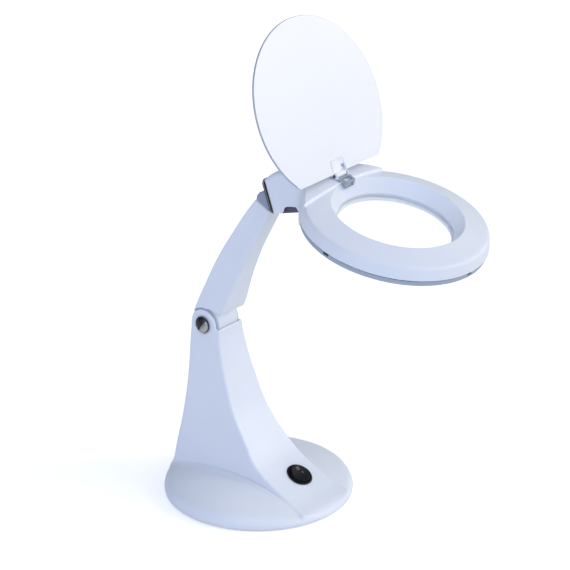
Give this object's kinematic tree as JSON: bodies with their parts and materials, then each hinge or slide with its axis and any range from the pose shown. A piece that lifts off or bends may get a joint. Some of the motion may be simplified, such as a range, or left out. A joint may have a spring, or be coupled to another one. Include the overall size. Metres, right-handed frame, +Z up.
{
  "type": "magnifying lamp",
  "caption": "Desk magnifying lamp: weighted round foot, flared column, curved arm, ring head with a round lens, circular lamp and hinged milky cover lid.",
  "frame": {"origin": "centre of the foot's underside, on the surface the lamp stands on", "axes": "+Z up; the lamp faces -Y, so the head reaches out towards -Y; X is the axis of every pivot"},
  "size_m": [0.18, 0.3323, 0.4786],
  "materials": {
    "white_shell": "satin bluish white, fine moulded grain",
    "grey_plastic": "satin grey",
    "dark_plastic": "satin dark grey",
    "black_plastic": "glossy black",
    "black_matte_plastic": "matte black",
    "pad_rubber": "foam rubber",
    "iron": "cast, painted black",
    "core_steel": "laminated core",
    "dark_steel": "dark polished",
    "lens_glass": "clear, greenish edge",
    "milky_lid": "milky, translucent, polished",
    "white_fittings": "white",
    "lamp_glass": "opal white tube",
    "board": "green laminate",
    "steel": "zinc plated"
  },
  "bodies": {
    "base": {"base_shell": "white_shell", "base_bottom_cover": "black_matte_plastic", "base_weight": "iron", "anti_slip_pad": "pad_rubber", "bottom_screw_1": "steel", "bottom_screw_2": "steel", "bottom_screw_3": "steel", "bottom_screw_4": "steel", "switch_bezel": "black_plastic", "switch_body": "black_plastic", "cable_gland": "black_matte_plastic", "driver_board": "board", "driver_choke": "core_steel", "lower_pivot_screw": "dark_steel", "lower_pivot_nut": "dark_steel", "friction_washer_left": "grey_plastic", "friction_washer_right": "grey_plastic"},
    "switch_rocker": {"switch_rocker": "black_plastic"},
    "arm": {"arm_shell": "white_shell", "arm_knuckle": "dark_plastic"},
    "head": {"head_housing": "white_shell", "head_lower_cover": "grey_plastic", "head_screw_1": "steel", "head_screw_2": "steel", "head_screw_3": "steel", "head_screw_4": "steel", "hinge_bracket": "white_shell", "lamp_holder": "white_fittings", "lamp_tube": "lamp_glass", "lens": "lens_glass", "lens_retainer": "grey_plastic", "lid_hinge_pin": "steel", "neck_rim": "dark_plastic", "tube_clip_1": "white_fittings", "tube_clip_2": "white_fittings", "tube_clip_3": "white_fittings", "upper_pivot_pin": "steel", "upper_washer_left": "steel", "upper_washer_right": "steel"},
    "lid": {"lid_panel": "milky_lid", "lid_leaf": "white_fittings"}
  },
  "joints": [
    {"name": "arm_pivot", "type": "hinge", "parent": "base", "child": "arm", "pos_m": [0, 0.0525, 0.1626], "axis": [1, 0, 0], "range_deg": [-25, 38]},
    {"name": "head_tilt", "type": "hinge", "parent": "arm", "child": "head", "pos_m": [0, -0.03803, 0.31694], "axis": [1, 0, 0], "range_deg": [-30, 40]},
    {"name": "lid_hinge", "type": "hinge", "parent": "head", "child": "lid", "pos_m": [0, -0.09499, 0.3439], "axis": [1, 0, 0], "range_deg": [0, 127]},
    {"name": "rocker_pivot", "type": "hinge", "parent": "base", "child": "switch_rocker", "pos_m": [0.006, -0.0446, 0.02635], "axis": [1, 0, 0], "range_deg": [-16, 0]}
  ]
}
